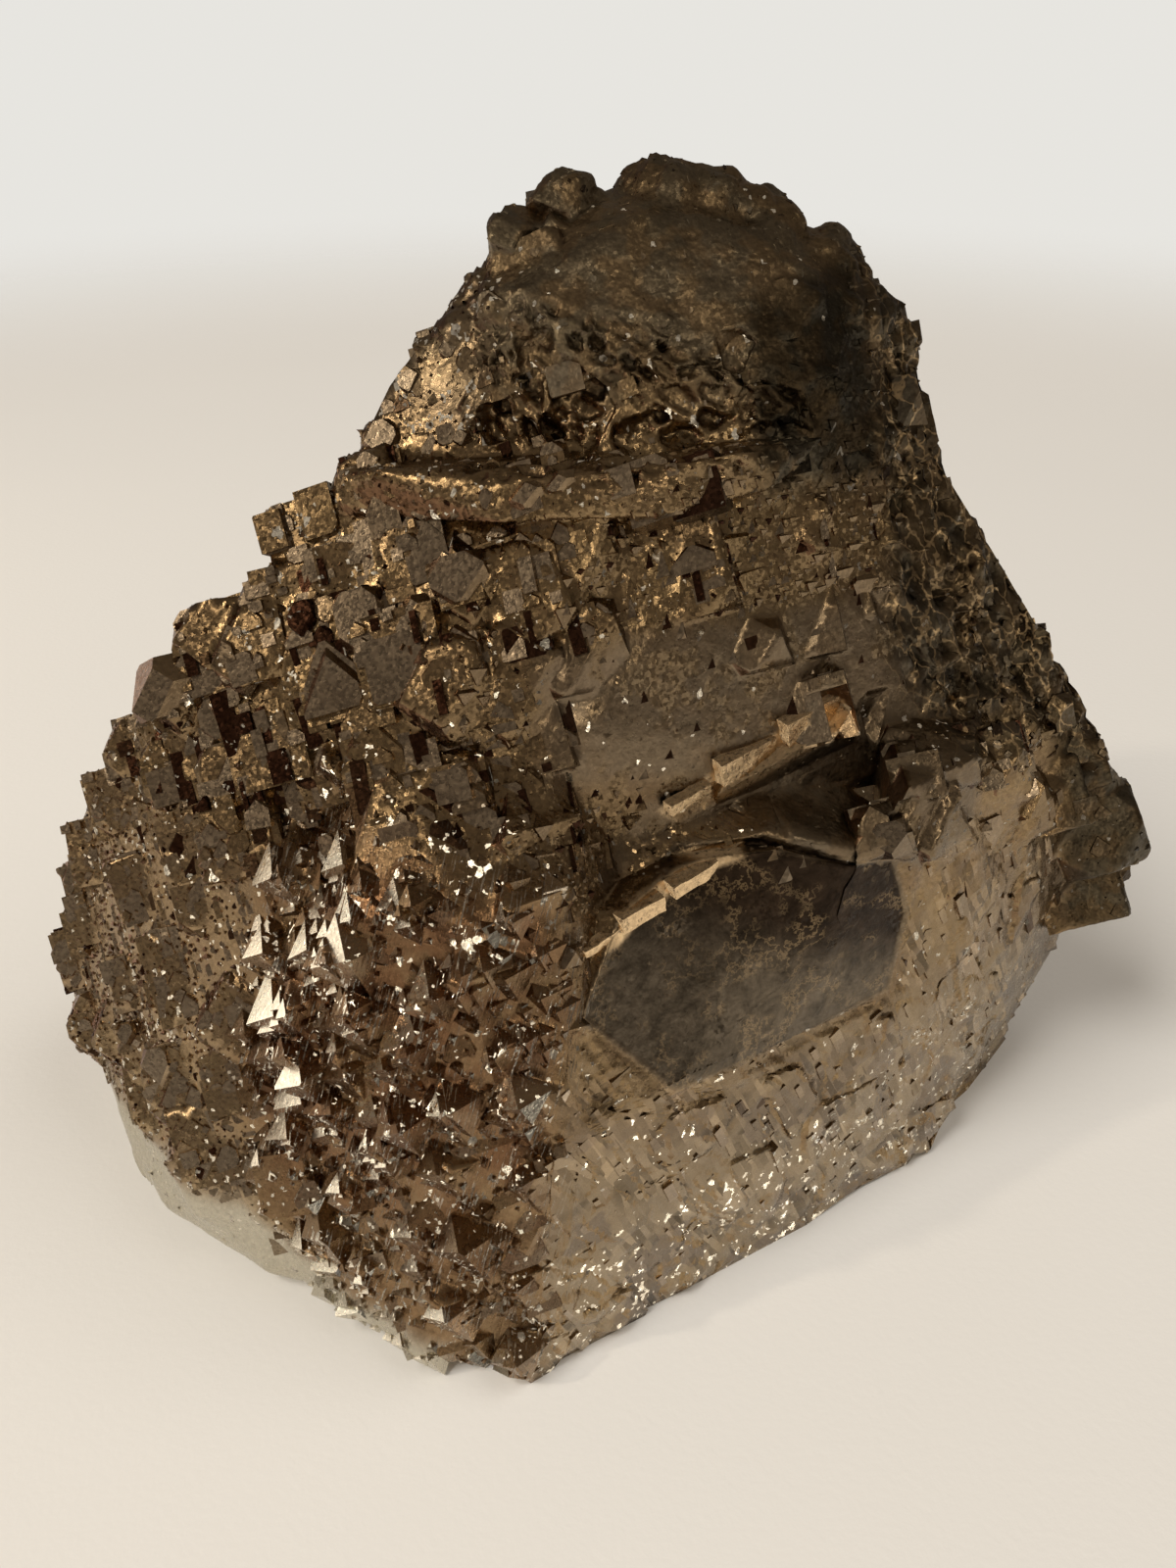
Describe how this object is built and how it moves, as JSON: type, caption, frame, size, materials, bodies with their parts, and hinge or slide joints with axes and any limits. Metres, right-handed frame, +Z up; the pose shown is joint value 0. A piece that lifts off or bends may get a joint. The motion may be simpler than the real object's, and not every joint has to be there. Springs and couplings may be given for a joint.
{
  "type": "pyrite specimen",
  "caption": "Natural pyrite specimen: a craggy, tapering mass of intergrown octahedral and cubic crystals with stepped faces, resting on a flat broken base.",
  "frame": {"origin": "centre of the bounding box in plan, at the level of the flat base", "axes": "+Z up, +X to the right of the front, +Y towards the hidden back"},
  "size_m": [0.1556, 0.101, 0.1309],
  "materials": {
    "pyrite": "satin, tarnished brown"
  },
  "bodies": {
    "root": {"pyrite_crystal_cluster": "pyrite"}
  },
  "joints": []
}
